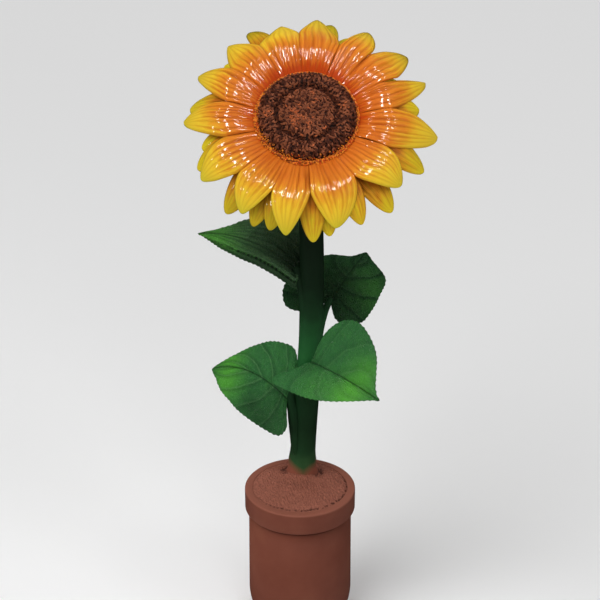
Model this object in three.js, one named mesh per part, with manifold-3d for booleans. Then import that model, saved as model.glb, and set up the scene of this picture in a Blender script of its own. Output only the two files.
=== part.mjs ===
// A display sunflower about 1.09 m tall, moulded in resin and standing in a round pot.
// Millimetres, +Z up. The origin is the centre of the pot's flat underside, and the
// flower faces -Y.
import * as THREE from 'three';
import Module from 'manifold-3d';

const wasm = await Module();
wasm.setup();

// ---------------------------------------------------------------- driving dimensions
const GAP = 0.3;                    // clearance left between touching pieces

const POT = {
  footRadius: 88.5, footTop: 27,    // straight foot
  shoulder: 58,                     // where the rounded shoulder above the foot ends
  lowRadius: 94.6, topRadius: 93,   // body just above the shoulder, and at its top
  bodyTop: 232, wall: 6, floor: 7,
};
const RIM = { radius: 100, bottom: 229, top: 268, inner: 86, ledgeInner: 81, ledge: 249.6 };
const SOIL = { edgeTop: 267.4, dome: 9.6, rings: 3 };   // domed top, level with the rim's lip

// The stem's centre line: [x, y, z, radius] from the flat foot to the neck.
const STEM_LINE = [
  [4, 46, 258, 31], [4, 46, 272, 29], [4, 45.5, 285, 25.5], [4.5, 45, 304, 23.6], [9, 42, 377, 22.4],
  [14, 40, 460, 21.9], [18.8, 37.5, 543, 21.3], [20.3, 34.5, 638, 20.9], [19.7, 32, 733, 20.6],
  [17, 29.5, 818, 20.4], [14, 28, 868, 20.4],
];
const NECK_LEAD = 28;               // straight length of stem behind the calyx

const HEAD = { x: 11, y: -50, z: 978, tilt: 43 };   // disc centre; degrees leaned back
const DISC = { radius: 78, edge: -1.5, crown: 13, crownAt: 60, groove: 8, grooveAt: 47, dome: 13.5 };
const ANTHERS = { inner: 78.3, outer: 83, bottom: -4.6, slope: 1.4, lip: 1, top: -0.5 };
const CALYX = { radius: 78, top: -8, rim: -38, neckRadius: 21, neck: -80 };
const SEPALS = { count: 12, valley: 88, reach: 30, thick: 3 };

// Petals start at the calyx wall, rise to a crest and droop from it to the tip.
const PETAL = {
  root: 78.4, crestAt: 130, crest: 8, rootHeight: -6, drooping: 44, topLift: 8,
  droopSpan: 70, droopPower: 2, crown: 4, thick: 4,
};
// Front petals: [boundary on the clockwise side, notch radius there, tip bearing, reach,
// and how long the clockwise and the anticlockwise side stay wide before the tip].
// Bearings are degrees anticlockwise from the flower's right, reaches are from its centre.
const FRONT = [
  [95, 154, 103.5, 179, 1.72, 1.6], [68, 140, 85, 199, 1.42, 1.4], [48, 152, 60.5, 206, 1.84, 1.1],
  [26, 158, 41.5, 221, 1.25, 1.2], [5, 134, 26, 215, 1.15, 2.2], [-24, 136, -2.5, 210, 1.15, 2.2],
  [-56, 130, -37, 184, 1.24, 1.78], [-88, 136, -76, 187, 1.24, 1.72], [-112, 142, -100, 193, 1.72, 1.3],
  [-136, 142, -123, 187, 1.84, 1.18], [-163, 134, -150, 192, 1.7, 1.4], [-191, 130, -182.5, 197, 1.7, 1.05],
  [-216, 148, -207.5, 198, 1.4, 1.12], [-240, 152, -228.5, 193, 1.35, 1.2],
];
// Petals of the two layers behind: [tip bearing, reach, half width].
const MIDDLE = [
  [9, 182, 24], [-21, 199, 25], [-63, 189, 20], [-87, 195, 21], [-108, 188, 20], [-131, 194, 22],
  [-157, 188, 25], [-190.5, 191, 27], [-218, 168, 22], [-244.5, 225, 18], [78.5, 205, 19], [43, 176, 26],
];
const BACK = [
  [-46, 193, 23], [-79, 187, 20], [-117, 187, 20], [-167, 171, 22], [-204, 166, 26],
  [-236, 160, 23], [98, 168, 23], [67, 186, 18], [28, 170, 24], [-12, 170, 24],
];
const LAYER_DROP = 12.3;            // one layer of petals below the next
const FREE_FULLNESS = 2.2;          // how long a rear blade stays wide before its tip

// Leaves: where the blade starts, where it ends, the way its upper face looks, how far
// its midrib arches up, and how far each half folds down (degrees). left and right are
// the margins as [along the midrib, across it], from the notch round the lobe to the tip.
const LEAF_THICK = 4;
const LEAVES = {
  leaf_upper_left: {
    base: [-5, 33, 683], tip: [-179, 100, 721], up: [-0.09, -0.66, 0.75], arch: 20,
    foldLeft: 25, foldRight: 0,
    left: [[-5, 14], [-13, 21], [-10, 30], [4, 33], [37, 34], [63, 34], [98, 34], [135, 26], [167, 12]],
    right: [[-6, 14], [-15, 30], [-16, 51], [-4, 71], [22, 79], [56, 73], [87, 54], [117, 33],
      [135, 20], [152, 10], [170, 4]],
  },
  leaf_upper_right: {
    base: [55, 65, 609], tip: [120, 170, 657], up: [0.39, -0.57, 0.73], arch: 4,
    foldLeft: 25, foldRight: 12,
    left: [[-13, 12], [-34, 27], [-47, 47], [-43, 69], [-22, 85], [6, 90], [42, 86], [70, 69], [92, 48],
      [102, 28], [107, 17], [122, 6]],
    right: [[-12, 10], [-20, 24], [-16, 43], [-4, 59], [18, 72], [43, 74], [66, 73], [91, 69], [112, 65],
      [125, 53], [128, 32], [129, 12]],
  },
  leaf_lower_left: {
    base: [-21, 33, 427], tip: [-164, 141, 434], up: [-0.51, -0.7, 0.5], arch: 27,
    foldLeft: 0, foldRight: 0,
    left: [[3, 12], [-4, 22], [-12, 36], [-11, 51], [-2, 65], [20, 74], [51, 78], [87, 73], [114, 60],
      [141, 43], [164, 16]],
    right: [[2, 12], [2, 31], [3, 51], [8, 69], [20, 81], [43, 76], [71, 64], [100, 45], [124, 29],
      [151, 14]],
  },
  leaf_lower_right: {
    base: [19, 4.5, 518], tip: [131, -116.5, 507], up: [-0.57, -0.58, 0.59], arch: 5,
    foldLeft: -20, foldRight: -15,
    left: [[5, 13], [7, 34], [14, 57], [34, 82], [59, 98], [87, 99], [116, 84], [136, 63], [145, 37],
      [152, 14]],
    right: [[-3, 13], [-19, 23], [-35, 36], [-51, 51], [-47, 61], [-22, 64], [20, 64], [51, 60], [81, 50],
      [107, 37], [132, 22], [153, 8]],
  },
};
// Stalks: [x, y, z, radius] from where each leaves the stem up to its blade.
const STALKS = {
  stalk_upper_left: [[4, 13, 589, 7], [0, 12, 630, 7.5], [-5, 19, 658, 7], [-6, 31, 678, 5.5]],
  stalk_upper_right: [[34, 33, 531, 7], [38, 41, 566, 7.5], [46, 56, 593, 7], [55, 68, 610, 5.5]],
  stalk_lower_left: [[-8, 29, 327, 7], [-12, 28, 368, 8], [-17, 32, 403.5, 7.5], [-22, 38, 425, 6]],
  stalk_lower_right: [[15, 21, 436, 7], [17, 17, 471, 8], [19, 12.5, 497, 7.5], [21, 6.5, 513, 6]],
};

const COLOURS = {
  pot: 0x7a4a3a, soil: 0x82503f, stem: 0x1f4a28, leaf: 0x2f6236, calyx: 0x2c5a30,
  disc: 0x4a2b1e, anthers: 0xdb7a1e, front: 0xe0902a, middle: 0xd6a52a, back: 0xb8952a,
};

// ---------------------------------------------------------------- solids from grids
const DEG = Math.PI / 180;
const clamp01 = (x) => Math.min(1, Math.max(0, x));

// One closed mesh: equal corners are merged, flat triangles dropped, faces turned out.
function closedGeometry(points, triangles) {
  const vertices = [];
  const seen = new Map();
  const index = points.map((p) => {
    const key = [p.x, p.y, p.z].map((c) => Math.round(c * 500)).join();
    if (!seen.has(key)) {
      seen.set(key, vertices.length);
      vertices.push(p);
    }
    return seen.get(key);
  });
  const kept = triangles
    .map((t) => t.map((i) => index[i]))
    .filter(([a, b, c]) => a !== b && b !== c && c !== a);
  const volume = kept.reduce((sum, [a, b, c]) => (
    sum + vertices[a].dot(vertices[b].clone().cross(vertices[c]))), 0);
  const geometry = new THREE.BufferGeometry().setFromPoints(vertices);
  geometry.setIndex(kept.flatMap((t) => (volume < 0 ? [t[0], t[2], t[1]] : t)));
  return geometry;
}

// A blade with an upper and a lower skin. upper(i, j) and lower(i, j) give their points
// for row i of rows and column j of columns.
function slab(rows, columns, upper, lower) {
  const points = [];
  const triangles = [];
  const wide = columns + 1;
  const sheet = (rows + 1) * wide;
  for (const skin of [upper, lower]) {
    for (let i = 0; i <= rows; i += 1) {
      for (let j = 0; j <= columns; j += 1) points.push(skin(i, j));
    }
  }
  for (let i = 0; i < rows; i += 1) {
    for (let j = 0; j < columns; j += 1) {
      const a = i * wide + j;
      triangles.push([a, a + 1, a + wide + 1], [a, a + wide + 1, a + wide]);
      const b = a + sheet;
      triangles.push([b, b + wide + 1, b + 1], [b, b + wide, b + wide + 1]);
    }
  }
  const edge = (a, b) => triangles.push([a, b, b + sheet], [a, b + sheet, a + sheet]);
  for (let j = 0; j < columns; j += 1) {
    edge(j + 1, j);
    edge(rows * wide + j, rows * wide + j + 1);
  }
  for (let i = 0; i < rows; i += 1) {
    edge(i * wide, (i + 1) * wide);
    edge((i + 1) * wide + columns, i * wide + columns);
  }
  return closedGeometry(points, triangles);
}

// A round limb through stations [x, y, z, radius], closed by a flat cap at each end.
function limb(stations, sides, steps, lastDirection) {
  const curve = new THREE.CatmullRomCurve3(
    stations.map(([x, y, z]) => new THREE.Vector3(x, y, z)), false, 'centripetal');
  const radii = new THREE.CatmullRomCurve3(
    stations.map(([, , z, r], i) => new THREE.Vector3(r, 0, i * 10)), false, 'centripetal');
  const points = [];
  const triangles = [];
  for (let i = 0; i <= steps; i += 1) {
    const t = i / steps;
    const centre = curve.getPoint(t);
    const along = curve.getTangent(t);
    if (i === 0) along.set(0, 0, 1);
    if (i === steps && lastDirection) along.copy(lastDirection);
    const right = new THREE.Vector3(1, 0, 0).addScaledVector(along, -along.x).normalize();
    const front = new THREE.Vector3().crossVectors(along, right);
    for (let k = 0; k < sides; k += 1) {
      const angle = (k / sides) * 2 * Math.PI;
      const r = radii.getPoint(t).x;
      points.push(centre.clone()
        .addScaledVector(right, r * Math.cos(angle))
        .addScaledVector(front, r * Math.sin(angle)));
    }
  }
  for (let i = 0; i < steps; i += 1) {
    for (let k = 0; k < sides; k += 1) {
      const next = (k + 1) % sides;
      const [a, b] = [i * sides + k, i * sides + next];
      triangles.push([a, b, b + sides], [a, b + sides, a + sides]);
    }
  }
  for (let k = 1; k < sides - 1; k += 1) {
    triangles.push([0, k + 1, k]);
    const top = steps * sides;
    triangles.push([top, top + k, top + k + 1]);
  }
  return closedGeometry(points, triangles);
}

// A profile of [radius, height] turned about Z. It starts and ends on the axis, or closes.
function turned(profile, segments) {
  const lathe = new THREE.LatheGeometry(profile.map(([r, h]) => new THREE.Vector2(r, h)), segments);
  lathe.rotateX(Math.PI / 2);
  const at = lathe.getAttribute('position');
  const points = Array.from({ length: at.count }, (_, i) => new THREE.Vector3().fromBufferAttribute(at, i));
  for (const p of points) {
    if (Math.hypot(p.x, p.y) < 1e-6) p.set(0, 0, p.z);
  }
  const flat = Array.from(lathe.index.array);
  const triangles = [];
  for (let i = 0; i < flat.length; i += 3) triangles.push(flat.slice(i, i + 3));
  return closedGeometry(points, triangles);
}

// ---------------------------------------------------------------- boolean cuts
function toSolid(geometry) {
  return new wasm.Manifold(new wasm.Mesh({
    numProp: 3,
    vertProperties: new Float32Array(geometry.getAttribute('position').array),
    triVerts: new Uint32Array(geometry.index.array),
  }));
}

function fromSolid(solid) {
  const largest = solid.decompose().sort((a, b) => b.volume() - a.volume())[0];
  const mesh = largest.getMesh();
  const points = [];
  for (let i = 0; i < mesh.numVert; i += 1) {
    const at = i * mesh.numProp;
    points.push(new THREE.Vector3(...mesh.vertProperties.slice(at, at + 3)));
  }
  const triangles = [];
  for (let i = 0; i < mesh.triVerts.length; i += 3) triangles.push(Array.from(mesh.triVerts.slice(i, i + 3)));
  return closedGeometry(points, triangles);
}

function cut(geometry, ...cutters) {
  return fromSolid(cutters.reduce((solid, cutter) => solid.subtract(toSolid(cutter)), toSolid(geometry)));
}

// ---------------------------------------------------------------- assembly
const plant = new THREE.Group();
const head = new THREE.Group();
head.position.set(HEAD.x, HEAD.y, HEAD.z);
head.rotation.x = HEAD.tilt * DEG;
plant.add(head);

function add(group, name, geometry, colour, roughness) {
  geometry.computeVertexNormals();
  const material = new THREE.MeshStandardMaterial({ color: colour, roughness, metalness: 0 });
  const mesh = new THREE.Mesh(geometry, material);
  mesh.name = name;
  group.add(mesh);
}

// ---------------------------------------------------------------- pot and soil
const innerFoot = POT.footRadius - POT.wall;
add(plant, 'pot_body', turned([
  [0, 0], [POT.footRadius, 0], [POT.footRadius, POT.footTop], [POT.lowRadius - 2.6, POT.footTop + 13],
  [POT.lowRadius, POT.shoulder], [POT.topRadius, POT.bodyTop],
  [POT.topRadius - POT.wall, POT.bodyTop], [POT.lowRadius - POT.wall, POT.shoulder],
  [innerFoot, POT.footTop], [innerFoot, POT.floor], [0, POT.floor],
], 40), COLOURS.pot, 0.75);

add(plant, 'pot_rim', turned([
  [RIM.radius - 2, RIM.bottom], [RIM.radius, RIM.bottom + 3], [RIM.radius, RIM.top - 2],
  [RIM.radius - 2, RIM.top], [RIM.inner, RIM.top], [RIM.inner, RIM.ledge], [RIM.ledgeInner, RIM.ledge],
  [RIM.ledgeInner, POT.bodyTop + GAP], [POT.topRadius + GAP, POT.bodyTop + GAP],
  [POT.topRadius + GAP, RIM.bottom], [RIM.radius - 2, RIM.bottom],
], 40), COLOURS.pot, 0.75);

// ---------------------------------------------------------------- stem
const facing = new THREE.Vector3(0, -Math.sin(HEAD.tilt * DEG), Math.cos(HEAD.tilt * DEG));
const headCentre = new THREE.Vector3(HEAD.x, HEAD.y, HEAD.z);
const neckEnd = headCentre.clone().addScaledVector(facing, CALYX.neck - GAP);
const neckStart = neckEnd.clone().addScaledVector(facing, -NECK_LEAD);

// A larger copy, deeper at the foot by the same margin, cuts its neighbours.
function stemGeometry(extra) {
  const neck = [neckStart, neckEnd].map((p) => [...p.toArray(), CALYX.neckRadius - 0.6]);
  const line = [...STEM_LINE, ...neck].map(([x, y, z, r], i) => [x, y, i ? z : z - extra, r + extra]);
  return limb(line, 14, 20, facing);
}
add(plant, 'stem', stemGeometry(0), COLOURS.stem, 0.7);
const stemCutter = stemGeometry(GAP);

// The soil is a low dome on the rim's ledge, with a socket that the stem's foot stands in.
const soilRadius = RIM.inner - GAP;
const dome = Array.from({ length: SOIL.rings + 1 }, (_, i) => {
  const r = soilRadius * (1 - i / SOIL.rings);
  return [r, SOIL.edgeTop + SOIL.dome * (1 - (r / soilRadius) ** 2)];
});
const soilBlock = turned([[0, RIM.ledge + GAP], [soilRadius, RIM.ledge + GAP], ...dome], 40);
add(plant, 'soil', cut(soilBlock, stemCutter), COLOURS.soil, 0.9);

// ---------------------------------------------------------------- leaves and stalks
// A point of a blade, [along, across], with across positive on its left half.
function leafSurface(leaf) {
  const base = new THREE.Vector3(...leaf.base);
  const span = new THREE.Vector3(...leaf.tip).sub(base);
  const length = span.length();
  const ahead = span.clone().normalize();
  const up = new THREE.Vector3(...leaf.up);
  up.addScaledVector(ahead, -up.dot(ahead)).normalize();
  const leftward = new THREE.Vector3().crossVectors(up, ahead);
  const half = (sign, fold) => leftward.clone().multiplyScalar(sign * Math.cos(fold * DEG))
    .addScaledVector(up, -Math.sin(fold * DEG));
  const outwards = { left: half(1, leaf.foldLeft), right: half(-1, leaf.foldRight) };
  const at = (along, across) => {
    const t = along / length;
    const rise = leaf.arch * (t > 0 ? 4 * t * (1 - t) : 4 * t);
    const side = across > 0 ? outwards.left : outwards.right;
    return base.clone().addScaledVector(ahead, along).addScaledVector(side, Math.abs(across))
      .add(new THREE.Vector3(0, 0, rise));
  };
  return { at, up, length };
}

function leafGeometry(leaf, thick) {
  const { at, up, length } = leafSurface(leaf);
  const rungs = 11;
  const steps = 3;
  const margin = (side) => new THREE.CatmullRomCurve3(
    [[0, 0], ...leaf[side], [length, 0]].map(([a, w]) => new THREE.Vector3(a, w, 0)), false, 'centripetal');
  const margins = { left: margin('left'), right: margin('right') };
  const point = (i, j) => {
    const side = j < steps ? 'right' : 'left';
    const out = Math.abs(j - steps) / steps;
    const t = i / rungs;
    const edge = margins[side].getPointAt(t);
    const rib = length * (0.02 * Math.sin(Math.PI * t) + t ** 1.7);
    const along = rib + (edge.x - rib) * out;
    const across = Math.max(0, edge.y) * out;
    return at(along, side === 'left' ? across : -across);
  };
  return slab(rungs, 2 * steps,
    (i, j) => point(i, j).addScaledVector(up, thick / 2),
    (i, j) => point(i, j).addScaledVector(up, -thick / 2));
}

for (const [name, leaf] of Object.entries(LEAVES)) {
  add(plant, name, cut(leafGeometry(leaf, LEAF_THICK), stemCutter), COLOURS.leaf, 0.65);
}
for (const [name, stations] of Object.entries(STALKS)) {
  const leaf = LEAVES[name.replace('stalk', 'leaf')];
  const leafCutter = leafGeometry(leaf, LEAF_THICK + 2 * GAP);
  add(plant, name, cut(limb(stations, 8, 6), stemCutter, leafCutter), COLOURS.stem, 0.7);
}

// ---------------------------------------------------------------- petals
// Height of the petals' upper side above the disc plane, at a distance and a bearing.
function petalHeight(reach, bearing) {
  if (reach < PETAL.crestAt) {
    const s = (reach - PETAL.root) / (PETAL.crestAt - PETAL.root);
    return PETAL.rootHeight + (PETAL.crest - PETAL.rootHeight) * Math.sin(s * Math.PI / 2);
  }
  const droop = PETAL.drooping - PETAL.topLift * Math.sin(bearing);
  return PETAL.crest - droop * ((reach - PETAL.crestAt) / PETAL.droopSpan) ** PETAL.droopPower;
}

// edges(reach) gives the two edge bearings of the blade in radians.
function petalGeometry(tipReach, edges, layer, rows, columns) {
  const point = (i, j, depth) => {
    const t = 1 - (1 - i / rows) ** 1.35;
    const reach = PETAL.root + (tipReach - PETAL.root) * t;
    const [low, high] = edges(reach);
    const v = (2 * j) / columns - 1;
    const bearing = low + (high - low) * (j / columns);
    const width = (high - low) * reach;
    const crown = PETAL.crown * clamp01((reach - PETAL.root) / 30) * clamp01(width / 40) * v * v;
    const height = petalHeight(reach, bearing) - layer * LAYER_DROP - crown - depth;
    const outward = i > 0 ? reach : reach / Math.cos((high - low) / columns / 2);
    return new THREE.Vector3(outward * Math.cos(bearing), outward * Math.sin(bearing), height);
  };
  return slab(rows, columns, (i, j) => point(i, j, 0), (i, j) => point(i, j, PETAL.thick));
}

// From 1 at the widest place to 0 at the tip, where both edges meet exactly.
const rounded = (s, fullness) => (s > 0.9999 ? 0 : (1 - clamp01(s) ** fullness) ** 0.72);

FRONT.forEach(([low, lowNotch, tip, reach, lowFullness, highFullness], k) => {
  const [high, highNotch] = k === 0 ? [FRONT.at(-1)[0] + 360, FRONT.at(-1)[1]] : FRONT[k - 1];
  const edge = (boundary, notch, fullness, r, inset) => {
    const s = (r - notch) / (reach - notch);
    return (tip + (boundary - tip) * rounded(s, fullness)) * DEG + (s < 0.9999 ? inset / r : 0);
  };
  const edges = (r) => [
    edge(low, lowNotch, lowFullness, r, GAP / 2),
    edge(high, highNotch, highFullness, r, -GAP / 2),
  ];
  const name = `petal_front_${String(k + 1).padStart(2, '0')}`;
  add(head, name, petalGeometry(reach, edges, 0, 7, 4), COLOURS.front, 0.2);
});

function freePetals(list, kind, layer, colour) {
  list.forEach(([tip, reach, halfWidth], k) => {
    const edges = (r) => {
      const s = (r - PETAL.root) / (reach - PETAL.root);
      const widening = 0.62 + 0.38 * Math.sin(clamp01(s / 0.5) * Math.PI / 2);
      const half = halfWidth * widening * rounded((s - 0.5) / 0.5, FREE_FULLNESS);
      const offset = Math.asin(half / r);
      return [tip * DEG - offset, tip * DEG + offset];
    };
    const name = `petal_${kind}_${String(k + 1).padStart(2, '0')}`;
    add(head, name, petalGeometry(reach, edges, layer, 6, 2), colour, 0.25);
  });
}
freePetals(MIDDLE, 'middle', 1, COLOURS.middle);
freePetals(BACK, 'back', 2, COLOURS.back);

// ---------------------------------------------------------------- disc and calyx
add(head, 'disc', turned([
  [0, CALYX.top + GAP], [DISC.radius, CALYX.top + GAP], [DISC.radius, DISC.edge],
  [DISC.radius - 2, DISC.edge + 5.5], [DISC.crownAt + 9, DISC.crown - 3], [DISC.crownAt, DISC.crown],
  [DISC.grooveAt + 4, DISC.groove + 2], [DISC.grooveAt, DISC.groove], [DISC.grooveAt - 5, DISC.groove + 3],
  [DISC.grooveAt - 18, DISC.dome - 0.6], [0, DISC.dome],
], 36), COLOURS.disc, 0.85);

add(head, 'anther_ring', turned([
  [ANTHERS.inner, ANTHERS.bottom], [ANTHERS.outer, ANTHERS.bottom + ANTHERS.slope],
  [ANTHERS.outer, ANTHERS.bottom + ANTHERS.slope + ANTHERS.lip], [ANTHERS.inner, ANTHERS.top],
  [ANTHERS.inner, ANTHERS.bottom],
], 36), COLOURS.anthers, 0.8);

// The calyx is a dome with a ring of pointed sepals that lie against the rear petals.
function calyxGeometry() {
  const segments = SEPALS.count * 4;
  const reachAt = (bearing) => {
    const phase = Math.abs(((bearing / (2 * Math.PI)) * SEPALS.count) % 1 - 0.5) * 2;
    return SEPALS.valley + SEPALS.reach * (1 - phase) ** 0.8;
  };
  const under = (reach, bearing) => petalHeight(reach, bearing) - 2 * LAYER_DROP - PETAL.thick - 6;
  const rings = [
    () => [CALYX.radius, CALYX.top],
    (b) => [CALYX.radius, under(CALYX.radius + 0.5, b)],
    (b) => [(CALYX.radius + reachAt(b)) / 2, under((CALYX.radius + reachAt(b)) / 2, b)],
    (b) => [reachAt(b), under(reachAt(b), b)],
    (b) => [(CALYX.radius + reachAt(b)) / 2, under((CALYX.radius + reachAt(b)) / 2, b) - SEPALS.thick],
    () => [CALYX.radius - 1, CALYX.rim - 4],
    () => [62, -54], () => [38, -67], () => [CALYX.neckRadius, CALYX.neck],
  ];
  const points = [];
  const triangles = [];
  for (const ring of rings) {
    for (let k = 0; k < segments; k += 1) {
      const bearing = (k / segments) * 2 * Math.PI;
      const [r, h] = ring(bearing);
      points.push(new THREE.Vector3(r * Math.cos(bearing), r * Math.sin(bearing), h));
    }
  }
  const front = points.push(new THREE.Vector3(0, 0, CALYX.top)) - 1;
  const rear = points.push(new THREE.Vector3(0, 0, CALYX.neck)) - 1;
  const last = (rings.length - 1) * segments;
  for (let k = 0; k < segments; k += 1) {
    const next = (k + 1) % segments;
    for (let i = 0; i < rings.length - 1; i += 1) {
      const [a, b] = [i * segments + k, i * segments + next];
      triangles.push([a, a + segments, b + segments], [a, b + segments, b]);
    }
    triangles.push([front, k, next], [rear, last + next, last + k]);
  }
  return closedGeometry(points, triangles);
}
add(head, 'calyx', calyxGeometry(), COLOURS.calyx, 0.7);

export default plant;
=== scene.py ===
import random
from math import asin, atan2, cos, degrees, exp, hypot, pi, radians, sin, sqrt

import bmesh
import bpy
from mathutils import Matrix, Vector, noise


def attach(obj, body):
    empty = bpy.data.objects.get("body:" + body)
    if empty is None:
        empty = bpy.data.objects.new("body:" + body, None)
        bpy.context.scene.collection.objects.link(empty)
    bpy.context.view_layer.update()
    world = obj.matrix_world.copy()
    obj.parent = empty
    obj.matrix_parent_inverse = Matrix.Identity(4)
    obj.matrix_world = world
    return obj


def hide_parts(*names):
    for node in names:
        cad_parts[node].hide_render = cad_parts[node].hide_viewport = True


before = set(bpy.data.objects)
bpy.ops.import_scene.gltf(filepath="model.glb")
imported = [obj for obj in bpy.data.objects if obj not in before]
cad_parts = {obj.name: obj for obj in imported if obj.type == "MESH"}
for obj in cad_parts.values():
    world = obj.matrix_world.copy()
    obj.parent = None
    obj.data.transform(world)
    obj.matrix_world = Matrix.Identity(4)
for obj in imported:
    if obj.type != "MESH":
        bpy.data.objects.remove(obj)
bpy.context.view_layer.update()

# ---------------- pot
# A round flower pot cast in resin and painted matt terracotta. The body is a plain shell
# with a rounded shoulder above its foot, and a thick band is glued over its top.
# Sizes are in mm: radii first, then heights above the ground.
MM = 0.001
POT_FOOT, POT_WALL_LOW, POT_WALL_TOP, POT_WALL = 88.5, 94.6, 93.0, 6.0
POT_FLOOR, POT_FOOT_TOP, POT_SHOULDER, POT_TOP = 7.0, 27.0, 58.0, 232.0
BAND_RADIUS, BAND_BORE, BAND_SLEEVE, LEDGE_BORE = 100.0, 86.0, 93.3, 81.0
BAND_BOTTOM, BAND_TOP, LEDGE_BOTTOM, LEDGE_TOP = 229.0, 268.0, 232.3, 249.6
POT_STEPS, BAND_STEPS = 120, 144


def paint(*chart):
    """A paint-chart colour (red, green, blue), 0 to 255, as the shader's linear values."""
    shares = [c / 255 for c in chart]
    return *(s / 12.92 if s < 0.04045 else ((s + 0.055) / 1.055) ** 2.4 for s in shares), 1.0


def new_material(name, finish):
    """A material with this finish on its shader, and its Object coordinates."""
    material = bpy.data.materials.new(name)
    material.use_nodes = True
    for socket, value in finish.items():
        material.node_tree.nodes["Principled BSDF"].inputs[socket].default_value = value
    return material, material.node_tree.nodes.new("ShaderNodeTexCoord").outputs["Object"]


def add_node(kind, feeds, **settings):
    """One more node, whose sockets are fed by other nodes' sockets or hold plain values."""
    joined = [source for source in feeds.values() if isinstance(source, bpy.types.NodeSocket)]
    tree = joined[0].id_data
    node = tree.nodes.new("ShaderNode" + kind)
    for name, value in settings.items():
        setattr(node, name, value)
    for socket, source in feeds.items():
        if source in joined:
            tree.links.new(source, node.inputs[socket])
        else:
            node.inputs[socket].default_value = source
    return node


def speckle(place, scale, detail, roughness=0.6):
    """Noise in the coordinates given, as a socket from 0 to 1."""
    return add_node("TexNoise", {"Vector": place, "Scale": scale, "Detail": detail,
                                 "Roughness": roughness}).outputs["Fac"]


def graded(value, start, end, at_start, at_end):
    """at_start up to start, at_end past end, and evenly between them."""
    return add_node("MapRange", {"Value": value, "From Min": start, "From Max": end,
                                 "To Min": at_start, "To Max": at_end}).outputs["Result"]


def clamped(value):
    """The value kept between 0 and 1."""
    return add_node("Clamp", {"Value": value}).outputs["Result"]


def ramp(factor, stops, tint=(1, 1, 1)):
    """A colour ramp through (position, paint-chart colour) stops, all multiplied by a tint."""
    node = add_node("ValToRGB", {"Fac": factor})
    band = node.color_ramp
    while len(band.elements) < len(stops):
        band.elements.new(0.5)
    for element, (position, chart) in zip(band.elements, stops):
        element.position = position
        element.color = *(share * part for share, part in zip(paint(*chart), tint)), 1.0
    return node.outputs["Color"]


def blend(factor, first, second, mode="MIX"):
    """first and second, mixed by a factor or multiplied."""
    return add_node("Mix", {0: factor, 6: first, 7: second}, data_type="RGBA",
                    blend_type=mode).outputs[2]


def sums(operation, first, second):
    """One sum on two values or sockets."""
    return add_node("Math", {0: first, 1: second}, operation=operation).outputs["Value"]


def feed(socket, source):
    """Joins a node's result to the shader."""
    tree = source.id_data
    tree.links.new(source, tree.nodes["Principled BSDF"].inputs[socket])


def bump(height, strength, distance):
    """Fine relief from a height socket, distance in metres."""
    node = add_node("Bump", {"Height": height, "Strength": strength, "Distance": distance})
    feed("Normal", node.outputs["Normal"])


def cleaned(bm, gap, holes=False):
    """Merges points nearer than gap mm, closes any holes and turns the faces outwards."""
    bmesh.ops.remove_doubles(bm, verts=bm.verts, dist=gap * MM)
    if holes:
        bmesh.ops.holes_fill(bm, edges=[e for e in bm.edges if e.is_boundary], sides=0)
    bmesh.ops.recalc_face_normals(bm, faces=bm.faces)
    return bm


def mesh_of(name, bm):
    """The finished mesh."""
    mesh = bpy.data.meshes.new(name)
    bm.to_mesh(mesh)
    bm.free()
    return mesh


def set_out(name, data):
    """A new object in the scene."""
    thing = bpy.data.objects.new(name, data)
    bpy.context.scene.collection.objects.link(thing)
    return thing


def as_piece(name, bm, material):
    """The finished, smooth shaded piece at the origin."""
    mesh = mesh_of(name, bm)
    mesh.shade_smooth()
    mesh.materials.append(material)
    return set_out(name, mesh)


def turned(profile, steps, closed=False):
    """A profile of (radius, height) in mm, spun round the pot's axis."""
    bm = bmesh.new()
    points = [bm.verts.new((r * MM, 0.0, h * MM)) for r, h in profile]
    pairs = list(zip(points, points[1:])) + ([(points[-1], points[0])] if closed else [])
    edges = [bm.edges.new(pair) for pair in pairs]
    bmesh.ops.spin(bm, geom=points + edges, cent=(0, 0, 0), axis=(0, 0, 1), angle=2 * pi,
                   steps=steps, use_merge=True)
    return cleaned(bm, 0.01)


def round_ring(bm, radius, height, width, segments):
    """Rounds the ring-shaped corner of a turned piece at (radius, height), in mm."""
    def on_ring(v):
        off = abs(hypot(v.co.x, v.co.y) - radius * MM), abs(v.co.z - height * MM)
        return max(off) < 0.05 * MM

    edges = [e for e in bm.edges if on_ring(e.verts[0]) and on_ring(e.verts[1])]
    bmesh.ops.bevel(bm, geom=edges, offset=width * MM, segments=segments, profile=0.5,
                    affect="EDGES", material=-1)


terracotta, pot_place = new_material("terracotta_paint", {"Roughness": 0.62,
                                                          "Specular IOR Level": 0.2})
pot_tint = ramp(speckle(pot_place, 9.0, 5.0), [
    (0.3, (102, 53, 38)), (0.5, (110, 59, 44)), (0.72, (118, 67, 50))])
# painted light: the band's flat top faces up to the light, so its paint is made lighter, as light as the
# soil
pot_height = add_node("SeparateXYZ", {"Vector": pot_place}).outputs["Z"]
painted_top_light = graded(pot_height, (BAND_TOP - 3.5) * MM, (BAND_TOP - 0.2) * MM, 0.0, 0.85)
pot_tint = blend(painted_top_light, pot_tint, paint(140, 84, 67))
# and a painted shadow, dark in the corner under the band
under_band_shade = graded(pot_height, (BAND_BOTTOM - 7.5) * MM, (BAND_BOTTOM - 3.5) * MM, 0.0, 0.75)
under_band_shade = sums("MULTIPLY", under_band_shade, sums("LESS_THAN", pot_height, BAND_BOTTOM * MM))
pot_tint = blend(under_band_shade, pot_tint, paint(52, 24, 18))
feed("Base Color", pot_tint)
bump(speckle(pot_place, 420.0, 3.0), 0.12, 0.0004)

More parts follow.
